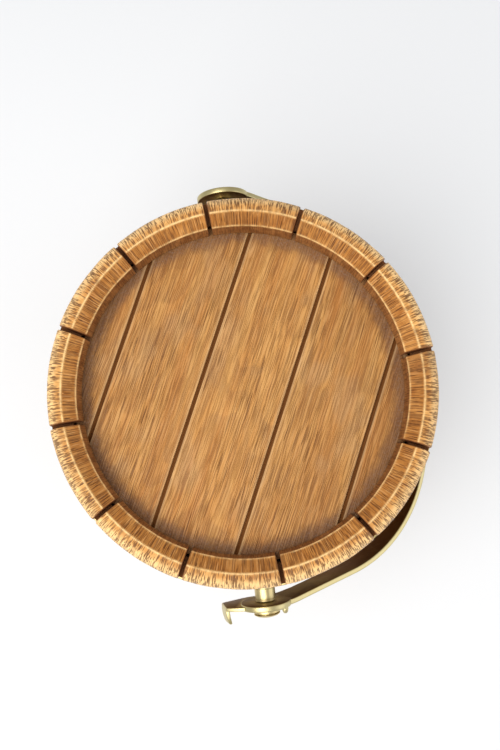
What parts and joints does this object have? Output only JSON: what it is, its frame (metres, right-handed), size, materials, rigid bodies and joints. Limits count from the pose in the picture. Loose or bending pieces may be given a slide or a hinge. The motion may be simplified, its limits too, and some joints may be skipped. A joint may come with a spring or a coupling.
{
  "type": "small oak barrel with swing handle",
  "caption": "Small oak barrel with staves, boarded heads set deep inside both chimes, brass hoops, a side bung and a flat brass swing handle on two side pivots.",
  "frame": {"origin": "the barrel's centre: on its axis, midway between the two ends; it is also the object's centre of mass to within a millimetre", "axes": "+Z along the barrel's axis towards the top head, the end nearer the handle's pivots. +X towards the side the handle hangs on at rest. The two pivots lie on the line through the axis along Y."},
  "size_m": [0.2266, 0.2482, 0.275],
  "materials": {
    "stave_oak": "oiled, worn smooth on the chime",
    "head_oak": "oiled, weathered",
    "dowel_wood": "raw",
    "bung_wood": "turned, raw",
    "fitting_brass": "satin",
    "hoop_brass": "satin"
  },
  "bodies": {
    "barrel": {"bottom_head_board_1": "head_oak", "bottom_head_board_2": "head_oak", "bottom_head_board_3": "head_oak", "bottom_head_board_4": "head_oak", "bottom_head_board_5": "head_oak", "bottom_head_dowel_1": "dowel_wood", "bottom_head_dowel_2": "dowel_wood", "bottom_head_dowel_3": "dowel_wood", "bottom_head_dowel_4": "dowel_wood", "hoop_bottom_bilge": "hoop_brass", "hoop_bottom_head": "hoop_brass", "hoop_top_bilge": "hoop_brass", "hoop_top_head": "hoop_brass", "inner_nut_finger_side": "fitting_brass", "inner_nut_plain_side": "fitting_brass", "inner_washer_finger_side": "fitting_brass", "inner_washer_plain_side": "fitting_brass", "pivot_screw_finger_side": "fitting_brass", "pivot_screw_plain_side": "fitting_brass", "rivet_bottom_bilge_1": "hoop_brass", "rivet_bottom_bilge_2": "hoop_brass", "rivet_bottom_head_1": "hoop_brass", "rivet_bottom_head_2": "hoop_brass", "rivet_top_bilge_1": "hoop_brass", "rivet_top_bilge_2": "hoop_brass", "rivet_top_head_1": "hoop_brass", "rivet_top_head_2": "hoop_brass", "spacer_bush_finger_side": "fitting_brass", "spacer_bush_plain_side": "fitting_brass", "stave_01": "stave_oak", "stave_02": "stave_oak", "stave_03": "stave_oak", "stave_04": "stave_oak", "stave_05": "stave_oak", "stave_06": "stave_oak", "stave_07": "stave_oak", "stave_08": "stave_oak", "stave_09": "stave_oak", "stave_10": "stave_oak", "stave_11": "stave_oak", "stave_12": "stave_oak", "top_head_board_1": "head_oak", "top_head_board_2": "head_oak", "top_head_board_3": "head_oak", "top_head_board_4": "head_oak", "top_head_board_5": "head_oak", "top_head_dowel_1": "dowel_wood", "top_head_dowel_2": "dowel_wood", "top_head_dowel_3": "dowel_wood", "top_head_dowel_4": "dowel_wood"},
    "handle": {"swing_handle": "fitting_brass"},
    "bung": {"bung": "bung_wood"}
  },
  "joints": [
    {"name": "handle_swing", "type": "hinge", "parent": "barrel", "child": "handle", "pos_m": [0, 0, 0.0799], "axis": [0, -1, 0], "range_deg": [0, 241]},
    {"name": "bung_pull", "type": "slide", "parent": "barrel", "child": "bung", "axis": [0.1633, 0.9866, 0], "range_m": [0, 0.021]}
  ]
}
